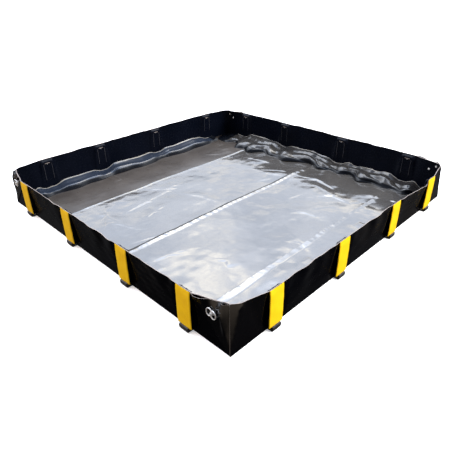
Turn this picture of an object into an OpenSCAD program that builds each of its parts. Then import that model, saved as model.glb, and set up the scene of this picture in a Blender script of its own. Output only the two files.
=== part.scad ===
// Collapsible-wall spill containment basin: a welded black liner whose four
// walls are held up by hinged uprights in sleeves, and fold flat inwards.
// Millimetres, +Z up, origin at the centre of the floor's underside.
// The wall-building modules work in one wall's own frame: X along the wall,
// Y inwards, Z up, Y = 0 on the outer face of the wall sheet.

/* [Basin] */
// Side of the square basin, measured over the wall sheets
side = 2438; // [2400:2:2480]
// Height of the wall's top edge above the ground
wall_h = 272; // [268:1:280]
// Thickness of the liner sheet
sheet_t = 1.5; // [1.2:0.1:2]
// Height at which the stiff wall panel begins, above the hinge skirt
panel_z0 = 46; // [44:1:48]
// Depth of the hem along a wall's top edge
hem_h = 10; // [8:1:12]

/* [Floor] */
// Width of each welded floor seam
seam_w = 20; // [10:1:22]
// Offset of the three floor seams from the basin's centre
seam_y = [-866, -82, 701]; // [-870:1:710]

/* [Brackets] */
// Width of the flat base leg
leg_w = 60; // [54:1:62]
// Thickness of the flat base leg
leg_t = 4; // [3:0.5:4]
// Reach of the base leg inside the wall
leg_in = 230; // [200:5:235]
// Width of the heel block
heel_w = 65; // [64:1:70]
// How far the heel block stands out from the wall sheet
heel_out = 40; // [36:1:44]
// Height of the heel block
heel_h = 32; // [30:1:32]
// Height of the hinge pin's axis
pin_z = 16.5; // [16.5:0.1:17]
// Distance of the hinge pin's axis outside the wall sheet
pin_o = 10.5; // [10.5:0.1:11]
// Radius of the hinge pin
pin_r = 4; // [3:0.1:5]
// Radial clearance of the hinge pin in the upright's tongue
pin_gap = 0.08; // [0.03:0.01:0.1]
// Width of the upright's tongue
tongue_w = 48; // [44:1:48]
// Thickness of the upright's tongue
tongue_t = 20; // [18:1:20]
// Width of the upright's box section
upright_w = 100; // [90:1:103]
// Depth of the upright's box section
upright_d = 22; // [18:1:24]
// Height of the upright's top end
upright_top = 236; // [220:1:238]

/* [Bracket stations] */
// Distance of the end brackets from the middle of each wall
end_station = 914; // [905:1:925]
// Middle brackets of the front wall
front_mid = [-292, 354]; // [-420:1:420]
// Middle brackets of the right wall
right_mid = [-282, 378]; // [-420:1:420]
// Middle brackets of the back wall
back_mid = [-221, 404]; // [-420:1:420]
// Middle brackets of the left wall
left_mid = [-286, 368]; // [-420:1:420]

/* [Sleeves] */
// Width of a sleeve
sleeve_w = 108; // [106:1:110]
// Height of a sleeve's open lower end
sleeve_z0 = 33; // [33:1:36]
// Height at which a sleeve starts to slope back to the wall
sleeve_z1 = 256; // [250:1:258]
// How far a sleeve stands out from the wall sheet
sleeve_o = 29; // [28:0.5:31]
// Width of the stiffening patch inside the wall
patch_w = 75; // [60:1:90]

/* [Corners] */
// Stretch of soft fabric at each end of the front and back walls
soft_l = 250; // [248:1:252]
// Reach of the folded corner ear along the side wall
ear_l = 247; // [230:1:247]
// Distance of the wing nut from the corner
wing_d = 115; // [105:1:125]
// Height of the wing nut
wing_z = 212; // [205:1:220]
// Distance of the cap nut from the corner
cap_d = 62; // [50:1:66]
// Height of the cap nut
cap_z = 245; // [235:1:248]
// Radius of the corner bolts
bolt_r = 4; // [3:0.5:5]
// Overall span of a wing nut
wing_span = 66; // [50:1:70]
// Tilt of the wings
wing_tilt = 17; // [0:1:45]

/* [Hidden] */
stations = [[-end_station, front_mid[0], front_mid[1], end_station],   // bracket stations along
            [-end_station, right_mid[0], right_mid[1], end_station],   // the front, right, back
            [-end_station, back_mid[0], back_mid[1], end_station],     // and left walls
            [-end_station, left_mid[0], left_mid[1], end_station]];
leg_z0 = 0.8;                       // underside of the base legs
leg_z1 = leg_z0 + leg_t;            // top of the base legs
blister_z = leg_z1 + sheet_t;       // top of the floor where it rides over a leg
end_gap = 3;                        // side wall panels end this far from the corner
ear_in_t = sheet_t;                 // the ear's inner layer lies on the wall sheet
ear_out_o = sheet_t + 0.4;          // inner face of the ear's outer layer
washer_o = ear_out_o + sheet_t + 0.3;
washer_t = 1.6;
FRONT = 0; RIGHT = 1; BACK = 2; LEFT = 3;
black = [0.03, 0.03, 0.035];
amber = [0.95, 0.78, 0.08];
bright = [0.75, 0.75, 0.77];
dark = [0.13, 0.13, 0.14];

// Placement: one wall's frame, and the four bracket stations along it
module at_wall(k) rotate([0, 0, 90 * k]) translate([0, -side / 2, 0]) children();
module at_stations(k) for (p = stations[k]) translate([p, 0, 0]) children();
// A box given by its ranges in the wall's frame, o being outwards
module wbox(x0, x1, o0, o1, z0, z1) translate([x0, -o1, z0]) cube([x1 - x0, o1 - o0, z1 - z0]);
// A cylinder along the wall's outward direction, from o0 to o1
module ocyl(r, o0, o1) translate([0, -o0, 0]) rotate([90, 0, 0]) cylinder(r = r, h = o1 - o0, $fn = 48);
// A prism along the wall from a profile of [outwards, up] points
module wprism(w) mirror([0, 1, 0]) rotate([90, 0, 90]) translate([0, 0, -w / 2]) linear_extrude(w) children();
// Both ends of a wall, d being the distance from the corner
module at_ends(d, z) for (s = [-1, 1]) translate([s * (side / 2 - d), 0, z]) children();

// ---- base ----
module floor_sheet() color(black) difference() {
    union() {
        translate([-side / 2, -side / 2, 0]) cube([side, side, sheet_t]);
        for (k = [0:3]) at_wall(k) at_stations(k) wbox(-leg_w / 2 - 3, leg_w / 2 + 3, -leg_in - 6, 0, 0, blister_z);
    }
    for (k = [0:3]) at_wall(k) at_stations(k) {
        wbox(-leg_w / 2 - 0.3, leg_w / 2 + 0.3, -leg_in - 0.5, 5, -1, leg_z1);
        wbox(-45.2, 45.2, -leg_in - 20.2, 5, -1, leg_z0);
    }
}
module floor_seam_tapes() color(dark) for (y = seam_y)
    translate([-side / 2 + 7, y - seam_w / 2, sheet_t]) cube([side - 14, seam_w, 0.5]);
module leg_pocket_patches() color(black) for (k = [0:3]) at_wall(k) at_stations(k)
    wbox(-45, 45, -leg_in - 20, 0, 0, leg_z0);
module base_legs() color(bright) for (k = [0:3]) at_wall(k) at_stations(k) difference() {
    wbox(-leg_w / 2, leg_w / 2, -leg_in, heel_out - 4, leg_z0, leg_z1);
    for (x = [-16, 16]) translate([x, -heel_out + 9.5, -1]) cylinder(r = 2.6, h = 20, $fn = 32);
}
// Side view of a heel: rounded toe outside, a quarter round about the pin inside
module heel_profile() intersection() {
    union() {
        translate([pin_o, 0]) square([heel_out - pin_o - 12, heel_h]);
        translate([pin_o, 12]) square([heel_out - pin_o, heel_h - 18]);
        translate([heel_out - 12, 12]) circle(r = 12, $fn = 64);
        translate([heel_out - 6, heel_h - 6]) circle(r = 6, $fn = 48);
        translate([pin_o, heel_h - 6]) square([heel_out - pin_o - 6, 6]);
        translate([pin_o, pin_z]) circle(r = 15.5, $fn = 96);
        translate([0, 0]) square([pin_o + 1, pin_z]);
    }
    translate([1, 0]) square([heel_out, heel_h]);
}
module heel_blocks() color(dark) for (k = [0:3]) at_wall(k) at_stations(k) difference() {
    wprism(heel_w) heel_profile();
    wbox(-tongue_w / 2 - 0.4, tongue_w / 2 + 0.4, -1, pin_o + tongue_t / 2 + 0.3, leg_z1, heel_h + 1);
    wbox(-leg_w / 2 - 0.2, leg_w / 2 + 0.2, -1, heel_out - 3.8, -1, leg_z1);
    translate([0, -pin_o, pin_z]) rotate([0, 90, 0]) cylinder(r = pin_r + 0.03, h = heel_w + 2, center = true, $fn = 64);
    for (x = [-16, 16]) translate([x, -heel_out + 9.5, -1]) cylinder(r = 2.6, h = heel_h + 5, $fn = 32);
}
// Two rivets hold each heel on its leg
module heel_rivets() color(bright) for (k = [0:3]) at_wall(k) at_stations(k)
    for (x = [-16, 16]) translate([x, -heel_out + 9.5, leg_z0]) cylinder(r = 2.5, h = heel_h - leg_z0 + 0.6, $fn = 32);
module hinge_pins() color(bright) for (k = [0:3]) at_wall(k) at_stations(k)
    translate([0, -pin_o, pin_z]) rotate([0, 90, 0]) {
        cylinder(r = pin_r, h = heel_w + 2, center = true, $fn = 64);
        for (s = [-1, 1]) translate([0, 0, s * (heel_w / 2 + 1.1)]) cylinder(r = pin_r + 2.2, h = 2, center = true, $fn = 48);
    }
// Soft wall fabric between a corner and the stiff part of the wall
module corner_panels(k) color(black) at_wall(k) for (s = [-1, 1]) mirror([s > 0 ? 1 : 0, 0, 0])
    wbox(-side / 2 - ear_out_o - sheet_t, -side / 2 + soft_l - 0.5, -sheet_t, 0, sheet_t, wall_h);
module front_corner_panels() corner_panels(FRONT);
module back_corner_panels() corner_panels(BACK);
// The skirt is the fabric hinge: it runs from the floor up to the stiff panel
// and is notched over the base legs
module skirt(k, half) color(black) at_wall(k) difference() {
    wbox(-half, half, -sheet_t, 0, sheet_t, panel_z0 - 0.4);
    at_stations(k) wbox(-leg_w / 2 - 3.2, leg_w / 2 + 3.2, -sheet_t - 1, 1, 0, blister_z + 0.2);
}
module front_skirt() skirt(FRONT, side / 2 - soft_l);
module right_skirt() skirt(RIGHT, side / 2 - end_gap);
module back_skirt() skirt(BACK, side / 2 - soft_l);
module left_skirt() skirt(LEFT, side / 2 - end_gap);
// One layer of a corner ear: a triangle folded along its sloping edge
module ear_layer(k, o0, hole_r, x_in) color(black) at_wall(k) for (s = [-1, 1]) mirror([s > 0 ? 1 : 0, 0, 0])
    difference() {
        translate([-side / 2, -o0, 0]) rotate([90, 0, 0]) linear_extrude(sheet_t)
            polygon([[x_in, 8], [x_in, wall_h - 1], [ear_l, wall_h - 1], [ear_l, ear_l + 8 - x_in]]);
        translate([-side / 2 + wing_d, 0, wing_z]) ocyl(hole_r, o0 - 1, o0 + sheet_t + 1);
        translate([-side / 2 + cap_d, 0, cap_z]) ocyl(hole_r, o0 - 1, o0 + sheet_t + 1);
    }
module left_ear_outer() ear_layer(LEFT, ear_out_o, bolt_r + 0.6, sheet_t);
module right_ear_outer() ear_layer(RIGHT, ear_out_o, bolt_r + 0.6, sheet_t);

// ---- walls ----
module wall_panel(k, half, bolted) color(black) at_wall(k) difference() {
    wbox(-half, half, -sheet_t, 0, panel_z0, wall_h);
    if (bolted) {
        at_ends(wing_d, wing_z) ocyl(bolt_r + 0.2, -5, 5);
        at_ends(cap_d, cap_z) ocyl(bolt_r + 0.2, -5, 5);
    }
}
module front_wall_panel() wall_panel(FRONT, side / 2 - soft_l, false);
module right_wall_panel() wall_panel(RIGHT, side / 2 - end_gap, true);
module back_wall_panel() wall_panel(BACK, side / 2 - soft_l, false);
module left_wall_panel() wall_panel(LEFT, side / 2 - end_gap, true);

// A box-section upright with a round-ended tongue on the hinge pin
module uprights(k) color(bright) at_wall(k) at_stations(k) difference() {
    union() {
        difference() {
            wbox(-upright_w / 2, upright_w / 2, 0.5, 0.5 + upright_d, panel_z0 + 2, upright_top);
            wbox(-upright_w / 2 + 2, upright_w / 2 - 2, 2.5, upright_d - 1.5, panel_z0 + 30, upright_top - 2);
        }
        wbox(-tongue_w / 2, tongue_w / 2, pin_o - tongue_t / 2, pin_o + tongue_t / 2, pin_z, panel_z0 + 32);
        translate([0, -pin_o, pin_z]) rotate([0, 90, 0]) cylinder(r = tongue_t / 2, h = tongue_w, center = true, $fn = 96);
    }
    translate([0, -pin_o, pin_z]) rotate([0, 90, 0]) cylinder(r = pin_r + pin_gap, h = tongue_w + 2, center = true, $fn = 64);
}
module front_uprights() uprights(FRONT);
module right_uprights() uprights(RIGHT);
module back_uprights() uprights(BACK);
module left_uprights() uprights(LEFT);

// A sleeve is a pocket welded on the wall: open below, sloping back at the top
module sleeve_core() polygon([[-1, sleeve_z0 - 1], [sleeve_o - sheet_t, sleeve_z0 - 1], [sleeve_o - sheet_t, sleeve_z1 - 1], [sleeve_o - 5, sleeve_z1 + 1.5], [0, wall_h - 8.5], [-1, wall_h - 8.5]]);
module sleeves(k) color(black) at_wall(k) at_stations(k) difference() {
    wprism(sleeve_w) polygon([[0, sleeve_z0], [sleeve_o, sleeve_z0], [sleeve_o, sleeve_z1], [sleeve_o - 3, sleeve_z1 + 4], [0, wall_h - 4]]);
    wprism(sleeve_w - 2 * sheet_t) sleeve_core();
}
module front_sleeves() sleeves(FRONT);
module right_sleeves() sleeves(RIGHT);
module back_sleeves() sleeves(BACK);
module left_sleeves() sleeves(LEFT);

// The coloured face welded on the front of each sleeve
module sleeve_faces(k) color(amber) at_wall(k) at_stations(k)
    wbox(-sleeve_w / 2, sleeve_w / 2, sleeve_o, sleeve_o + 1, sleeve_z0, sleeve_z1);
module front_sleeve_faces() sleeve_faces(FRONT);
module right_sleeve_faces() sleeve_faces(RIGHT);
module back_sleeve_faces() sleeve_faces(BACK);
module left_sleeve_faces() sleeve_faces(LEFT);

// Reinforcing patch inside the wall behind each upright, and its rivet
module inner_patches(k) color(black) at_wall(k) at_stations(k) difference() {
    wbox(-patch_w / 2, patch_w / 2, -sheet_t - 1.2, -sheet_t, 110, wall_h - hem_h - 1);
    translate([0, 0, wall_h - 24]) ocyl(2.2, -sheet_t - 2, 1);
}
module front_inner_patches() inner_patches(FRONT);
module right_inner_patches() inner_patches(RIGHT);
module back_inner_patches() inner_patches(BACK);
module left_inner_patches() inner_patches(LEFT);
module patch_rivets(k) color(bright) at_wall(k) at_stations(k) translate([0, 0, wall_h - 24]) {
    ocyl(2, -sheet_t - 1.3, -sheet_t);
    translate([0, sheet_t + 1.2, 0]) rotate([-90, 0, 0]) rotate_extrude($fn = 48)
        polygon([[0, 0], [5, 0], [4.6, 0.8], [3.2, 1.6], [0, 2.1]]);
}
module front_patch_rivets() patch_rivets(FRONT);
module right_patch_rivets() patch_rivets(RIGHT);
module back_patch_rivets() patch_rivets(BACK);
module left_patch_rivets() patch_rivets(LEFT);

module top_hem(k, half) color(black) at_wall(k)
    wbox(-half, half, -2 * sheet_t, -sheet_t, wall_h - hem_h, wall_h);
module front_top_hem() top_hem(FRONT, side / 2 - soft_l);
module right_top_hem() top_hem(RIGHT, side / 2 - end_gap);
module back_top_hem() top_hem(BACK, side / 2 - soft_l);
module left_top_hem() top_hem(LEFT, side / 2 - end_gap);

// ---- corner fastenings, on the side walls ----
module left_ear_inner() ear_layer(LEFT, 0, bolt_r + 0.2, end_gap);
module right_ear_inner() ear_layer(RIGHT, 0, bolt_r + 0.2, end_gap);
module corner_bolt(len) {
    ocyl(bolt_r, -sheet_t - 1, len);
    translate([0, sheet_t, 0]) rotate([-90, 0, 0]) rotate_extrude($fn = 64)
        polygon([[0, 0], [9, 0], [8.6, 1.6], [6.5, 3.6], [3.5, 4.6], [0, 5]]);
}
module corner_bolts(k) color(bright) at_wall(k) {
    at_ends(wing_d, wing_z) corner_bolt(washer_o + washer_t + 17);
    at_ends(cap_d, cap_z) corner_bolt(washer_o + washer_t + 5);
}
module left_corner_bolts() corner_bolts(LEFT);
module right_corner_bolts() corner_bolts(RIGHT);
module washer(r) difference() {
    ocyl(r, washer_o, washer_o + washer_t);
    ocyl(bolt_r + 0.2, washer_o - 1, washer_o + washer_t + 1);
}
module washers(k) color(bright) at_wall(k) {
    at_ends(wing_d, wing_z) washer(15);
    at_ends(cap_d, cap_z) washer(11);
}
module left_washers() washers(LEFT);
module right_washers() washers(RIGHT);
module cap_nut() translate([0, -washer_o - washer_t, 0]) rotate([90, 0, 0]) difference() {
    rotate_extrude($fn = 64) polygon([[0, 0], [8, 0], [8, 5.5], [6.8, 6], [6.2, 8.4], [4.4, 10.6], [2.2, 11.7], [0, 12]]);
    translate([0, 0, -1]) cylinder(r = bolt_r + 0.03, h = 6.2, $fn = 48);
}
module cap_nuts(k) color(dark) at_wall(k) at_ends(cap_d, cap_z) cap_nut();
module left_cap_nuts() cap_nuts(LEFT);
module right_cap_nuts() cap_nuts(RIGHT);
// Wing nut: a hub and two rimmed round wings, its axis along the bolt
module wing_nut() rotate([90, 0, 0]) translate([0, 0, washer_o + washer_t + 0.15]) difference() {
    union() {
        cylinder(r1 = 10, r2 = 8, h = 15, $fn = 64);
        for (s = [-1, 1]) translate([s * (wing_span / 2 - 14), 0, 4]) difference() {
            cylinder(r = 14, h = 7, $fn = 72);
            translate([s * 0.5, 0, 4.6]) cylinder(r = 10.2, h = 5, $fn = 64);
            translate([s * 0.5, 0, -1]) cylinder(r = 10.2, h = 3.4, $fn = 64);
        }
    }
    translate([0, 0, -1]) cylinder(r = bolt_r + 0.06, h = 20, $fn = 64);
}
module wing_at(k, s, t) color(bright) at_wall(k) translate([s * (side / 2 - wing_d), 0, wing_z]) rotate([0, t, 0]) wing_nut();
module left_front_wing_nut() wing_at(LEFT, 1, wing_tilt);
module left_back_wing_nut() wing_at(LEFT, -1, wing_tilt);
module right_front_wing_nut() wing_at(RIGHT, -1, -wing_tilt);
module right_back_wing_nut() wing_at(RIGHT, 1, -wing_tilt);

floor_sheet();
floor_seam_tapes();
leg_pocket_patches();
base_legs();
heel_blocks();
heel_rivets();
hinge_pins();
front_corner_panels();
back_corner_panels();
front_skirt();
right_skirt();
back_skirt();
left_skirt();
left_ear_outer();
right_ear_outer();
front_wall_panel();
front_uprights();
front_sleeves();
front_sleeve_faces();
front_inner_patches();
front_patch_rivets();
front_top_hem();
right_wall_panel();
right_uprights();
right_sleeves();
right_sleeve_faces();
right_inner_patches();
right_patch_rivets();
right_top_hem();
back_wall_panel();
back_uprights();
back_sleeves();
back_sleeve_faces();
back_inner_patches();
back_patch_rivets();
back_top_hem();
left_wall_panel();
left_uprights();
left_sleeves();
left_sleeve_faces();
left_inner_patches();
left_patch_rivets();
left_top_hem();
left_ear_inner();
left_corner_bolts();
left_washers();
left_cap_nuts();
right_ear_inner();
right_corner_bolts();
right_washers();
right_cap_nuts();
left_front_wing_nut();
left_back_wing_nut();
right_front_wing_nut();
right_back_wing_nut();
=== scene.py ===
import math
import bpy
import numpy as np
from mathutils import Matrix, Vector

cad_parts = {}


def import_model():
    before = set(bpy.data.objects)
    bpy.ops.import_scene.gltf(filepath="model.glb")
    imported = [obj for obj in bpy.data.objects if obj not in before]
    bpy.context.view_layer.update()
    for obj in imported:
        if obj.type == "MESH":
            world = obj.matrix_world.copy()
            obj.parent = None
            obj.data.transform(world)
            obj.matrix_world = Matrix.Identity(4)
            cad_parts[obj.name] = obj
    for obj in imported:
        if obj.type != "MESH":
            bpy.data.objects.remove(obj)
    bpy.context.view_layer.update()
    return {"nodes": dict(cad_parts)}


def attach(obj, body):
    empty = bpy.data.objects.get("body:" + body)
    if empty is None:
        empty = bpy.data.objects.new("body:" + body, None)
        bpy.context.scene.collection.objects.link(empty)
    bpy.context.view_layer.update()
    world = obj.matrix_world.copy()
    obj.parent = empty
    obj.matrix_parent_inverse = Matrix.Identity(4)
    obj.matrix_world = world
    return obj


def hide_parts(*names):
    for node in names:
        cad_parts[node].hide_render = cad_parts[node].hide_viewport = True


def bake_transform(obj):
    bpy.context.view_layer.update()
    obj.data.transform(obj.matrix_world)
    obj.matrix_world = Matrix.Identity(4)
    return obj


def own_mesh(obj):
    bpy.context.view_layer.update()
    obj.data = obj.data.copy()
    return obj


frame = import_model()
nodes = frame["nodes"]

# ------------------------------------------------------------------ measures
S = 1.219            # half of the side, to the outer face of the wall sheet
H = 0.272            # height of the wall's top edge
T = 0.0015           # liner sheet
SOFT = 0.250         # soft stretch at each end of the front and back walls
SLEEVE_W, SLEEVE_O, SLEEVE_Z0, SLEEVE_Z1 = 0.108, 0.029, 0.033, 0.242
FRONT, RIGHT, BACK, LEFT = 0, 1, 2, 3
WALL = {FRONT: "front", RIGHT: "right", BACK: "back", LEFT: "left"}
STATIONS = {FRONT: (-0.914, -0.292, 0.354, 0.914), RIGHT: (-0.914, -0.282, 0.378, 0.914),
            BACK: (-0.914, -0.221, 0.404, 0.914), LEFT: (-0.914, -0.286, 0.368, 0.914)}


def place(k, a, o, z):
    """Wall k's own frame (along, outwards, up) to the row frame, for arrays."""
    a, o, z = np.broadcast_arrays(np.asarray(a, float), np.asarray(o, float), np.asarray(z, float))
    x, y = a, -S - o
    for _ in range(k):
        x, y = -y, x
    return np.stack([x, y, z], axis=-1)


def smooth(t):
    t = np.clip(t, 0, 1)
    return t * t * (3 - 2 * t)


def waves(seed, n, lam, spread=0.5):
    """A smooth field of n random plane waves of about that wavelength, about -1 to 1."""
    r = np.random.default_rng(seed)
    th = r.uniform(0, 2 * np.pi, n)
    kk = 2 * np.pi / (lam * r.uniform(1 - spread, 1 + spread, n))
    ph = r.uniform(0, 2 * np.pi, n)

    def f(x, y):
        s = 0
        for i in range(n):
            s = s + np.sin(kk[i] * (np.cos(th[i]) * x + np.sin(th[i]) * y) + ph[i])
        return s / math.sqrt(n / 2) / 1.6
    return f


def wave1(seed, n, lam, spread=0.5):
    g = waves(seed, n, lam, spread)
    return lambda a: g(a, a * 0.37 + 1.7)


# ------------------------------------------------------------------ meshes
def new_object(name, verts, faces, mats, face_mat=None, smooth_shade=True):
    me = bpy.data.meshes.new(name)
    me.from_pydata([tuple(v) for v in verts], [], [tuple(f) for f in faces])
    me.validate()
    me.update()
    o = bpy.data.objects.new(name, me)
    bpy.context.scene.collection.objects.link(o)
    for m in mats:
        me.materials.append(m)
    if face_mat is not None:
        me.polygons.foreach_set("material_index", np.asarray(face_mat, np.int32))
    me.polygons.foreach_set("use_smooth", np.full(len(me.polygons), smooth_shade))
    return o


def sheet_mesh(outer, inner, rim_mat=0, side_mat=0):
    """A closed sheet from two (nu, nv, 3) grids. Returns verts, faces and the faces' material numbers."""
    nu, nv = outer.shape[:2]
    n = nu * nv
    verts = np.concatenate([outer.reshape(-1, 3), inner.reshape(-1, 3)])
    idx = np.arange(n).reshape(nu, nv)
    a, b, c, d = idx[:-1, :-1], idx[1:, :-1], idx[1:, 1:], idx[:-1, 1:]
    f1 = np.stack([a, b, c, d], -1).reshape(-1, 4)
    f2 = np.stack([d, c, b, a], -1).reshape(-1, 4) + n
    rims = []
    for line in (idx[:, 0][::-1], idx[:, -1], idx[0, :], idx[-1, :][::-1]):
        p, q = line[:-1], line[1:]
        rims.append(np.stack([q, p, p + n, q + n], -1))
    faces = np.concatenate([f1, f2] + rims)
    mats = np.concatenate([np.zeros(len(f1)), np.zeros(len(f2)), np.full(len(rims[0]), side_mat),
                           np.full(len(rims[1]), rim_mat), np.full(len(rims[2]), side_mat), np.full(len(rims[3]), side_mat)])
    return verts, faces, mats


def fix_normals(o):
    import bmesh
    bm = bmesh.new()
    bm.from_mesh(o.data)
    bmesh.ops.recalc_face_normals(bm, faces=bm.faces[:])
    bm.to_mesh(o.data)
    bm.free()


def crease_edges(o, angle=35):
    """Sharp edges stay sharp under smooth shading."""
    o.data.set_sharp_from_angle(angle=math.radians(angle))


# ------------------------------------------------------------------ materials
def material(name):
    m = bpy.data.materials.new(name)
    m.use_nodes = True
    nt = m.node_tree
    bsdf = nt.nodes["Principled BSDF"]
    return m, nt, bsdf


def noise(nt, scale, detail=4, rough=0.55, coord="Object", stretch=None, distort=0.0):
    tc = nt.nodes.new("ShaderNodeTexCoord")
    out = tc.outputs[coord]
    if stretch is not None:
        mp = nt.nodes.new("ShaderNodeMapping")
        mp.inputs["Scale"].default_value = stretch
        nt.links.new(out, mp.inputs["Vector"])
        out = mp.outputs["Vector"]
    n = nt.nodes.new("ShaderNodeTexNoise")
    n.inputs["Scale"].default_value = scale
    n.inputs["Detail"].default_value = detail
    n.inputs["Roughness"].default_value = rough
    n.inputs["Distortion"].default_value = distort
    nt.links.new(out, n.inputs["Vector"])
    return n


def ramp(nt, src, stops):
    r = nt.nodes.new("ShaderNodeValToRGB")
    els = r.color_ramp.elements
    while len(els) < len(stops):
        els.new(0.5)
    for e, (p, c) in zip(els, stops):
        e.position = p
        e.color = (*c, 1) if len(c) == 3 else c
    nt.links.new(src, r.inputs["Fac"])
    return r


def remap(nt, src, lo, hi, a=0.3, b=0.7):
    r = nt.nodes.new("ShaderNodeMapRange")
    r.inputs["From Min"].default_value = a
    r.inputs["From Max"].default_value = b
    r.inputs["To Min"].default_value = lo
    r.inputs["To Max"].default_value = hi
    nt.links.new(src, r.inputs["Value"])
    return r


def bump_chain(nt, bsdf, layers):
    """layers: (height socket, strength, distance in metres)."""
    last = None
    for src, strength, dist in layers:
        b = nt.nodes.new("ShaderNodeBump")
        b.inputs["Strength"].default_value = strength
        b.inputs["Distance"].default_value = dist
        nt.links.new(src, b.inputs["Height"])
        if last is not None:
            nt.links.new(last.outputs["Normal"], b.inputs["Normal"])
        last = b
    nt.links.new(last.outputs["Normal"], bsdf.inputs["Normal"])


def liner(name, dark, light, rough, ior, wrinkle=1.0, fine_amount=0.1, specular=0.5):
    m, nt, b = material(name)
    big, fine = noise(nt, 4, 3, 0.5), noise(nt, 45, 3, 0.55)
    col = ramp(nt, big.outputs["Fac"], [(0.3, dark), (0.7, light)])
    nt.links.new(col.outputs["Color"], b.inputs["Base Color"])
    r = remap(nt, fine.outputs["Fac"], rough[0], rough[1])
    nt.links.new(r.outputs["Result"], b.inputs["Roughness"])
    b.inputs["IOR"].default_value = ior
    b.inputs["Specular IOR Level"].default_value = specular
    bump_chain(nt, b, [(big.outputs["Fac"], 0.3 * wrinkle, 0.004), (fine.outputs["Fac"], fine_amount, 0.0004)])
    return m


M_WALL = liner("liner_wall", (0.0007, 0.0008, 0.0014), (0.0016, 0.0017, 0.0026), (0.18, 0.28), 1.5, 0.5, 0.0, 0.17)
M_CORNER = liner("liner_corner", (0.0010, 0.0010, 0.0014), (0.0022, 0.0021, 0.0026), (0.14, 0.24), 1.6, 0.5, 0.0, 0.65)
M_INNER = liner("liner_wall_inside", (0.0012, 0.0020, 0.0048), (0.0026, 0.0036, 0.0078), (0.20, 0.32), 1.5, 0.5, 0.0, 0.08)
M_FLOOR = liner("liner_floor", (0.040, 0.038, 0.037), (0.055, 0.052, 0.050), (0.09, 0.17), 2.1, 0.5)
M_STRIP = liner("liner_floor_strip", (0.034, 0.029, 0.026), (0.055, 0.048, 0.043), (0.27, 0.34), 1.34, 0.9, 0.0)
# near-black navy for the tucked foot of the fold rolls: painted shade
M_FOOT_SHADE = liner("liner_fold_foot_painted_shade", (0.0012, 0.0018, 0.0035), (0.0035, 0.0045, 0.0075), (0.25, 0.35), 1.4, 0.4, 0.0, 0.3)
# dark strip behind each floor seam: the weld, with painted shade on the drop behind it
M_WELD_AND_SHADE = liner("seam_weld_and_painted_shade", (0.012, 0.011, 0.011), (0.03, 0.028, 0.026), (0.4, 0.55), 1.3, 0.5, 0.1)
# dark fold cloth with a blue tint that is a painted reflection of the sky
M_PUFF_SKY_TINT = liner("liner_fold", (0.014, 0.020, 0.034), (0.024, 0.031, 0.048), (0.10, 0.18), 1.5, 0.4, 0.0)
M_CRUMPLE = liner("liner_crumple", (0.020, 0.0195, 0.020), (0.040, 0.0365, 0.034), (0.15, 0.26), 1.55, 0.4, 0.0)
# paler lines along the patch ridges: a painted highlight
M_RIDGE_HIGHLIGHT = liner("patch_ridge_painted_highlight", (0.030, 0.032, 0.040), (0.065, 0.065, 0.075), (0.25, 0.4), 1.5, 0.5, 0.0, 0.3)
# pale cream for the crest of the fold rolls: a painted highlight
M_CREST_HIGHLIGHT = liner("liner_fold_crest_painted_highlight", (0.10, 0.10, 0.105), (0.34, 0.32, 0.285), (0.16, 0.3), 1.5, 0.5, 0.0)
M_EDGE = liner("cut_edge", (0.15, 0.125, 0.115), (0.34, 0.295, 0.275), (0.4, 0.55), 1.45)


def yellow():
    m, nt, b = material("yellow_liner")
    big, fine = noise(nt, 9, 4, 0.6), noise(nt, 120, 3, 0.6)
    wv = nt.nodes.new("ShaderNodeTexWave")
    tc = nt.nodes.new("ShaderNodeTexCoord")
    wv.inputs["Scale"].default_value = 180
    wv.inputs["Distortion"].default_value = 1.0
    wv.bands_direction = "Z"
    nt.links.new(tc.outputs["Object"], wv.inputs["Vector"])
    col = ramp(nt, big.outputs["Fac"], [(0.25, (0.84, 0.49, 0.006)), (0.6, (0.93, 0.585, 0.008)), (0.85, (0.95, 0.62, 0.014))])
    nt.links.new(col.outputs["Color"], b.inputs["Base Color"])
    r = remap(nt, fine.outputs["Fac"], 0.38, 0.55)
    nt.links.new(r.outputs["Result"], b.inputs["Roughness"])
    bump_chain(nt, b, [(big.outputs["Fac"], 0.25, 0.004), (wv.outputs["Fac"], 0.12, 0.0003), (fine.outputs["Fac"], 0.2, 0.0004)])
    return m


def moulded(name, dark, light, rough=(0.4, 0.6), scale=220):
    m, nt, b = material(name)
    big, fine = noise(nt, 18, 4, 0.6), noise(nt, scale, 3, 0.6)
    col = ramp(nt, big.outputs["Fac"], [(0.3, dark), (0.75, light)])
    nt.links.new(col.outputs["Color"], b.inputs["Base Color"])
    r = remap(nt, fine.outputs["Fac"], *rough)
    nt.links.new(r.outputs["Result"], b.inputs["Roughness"])
    bump_chain(nt, b, [(fine.outputs["Fac"], 0.3, 0.0004), (big.outputs["Fac"], 0.1, 0.001)])
    return m


def metal(name, dark, light, rough=(0.2, 0.4), stretch=(1, 1, 1), scale=120, metallic=0.9):
    m, nt, b = material(name)
    b.inputs["Metallic"].default_value = metallic
    big, fine = noise(nt, 25, 4, 0.6), noise(nt, scale, 4, 0.7, stretch=stretch)
    col = ramp(nt, big.outputs["Fac"], [(0.3, dark), (0.7, light)])
    nt.links.new(col.outputs["Color"], b.inputs["Base Color"])
    r = remap(nt, fine.outputs["Fac"], *rough)
    nt.links.new(r.outputs["Result"], b.inputs["Roughness"])
    bump_chain(nt, b, [(fine.outputs["Fac"], 0.15, 0.0002)])
    return m


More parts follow.
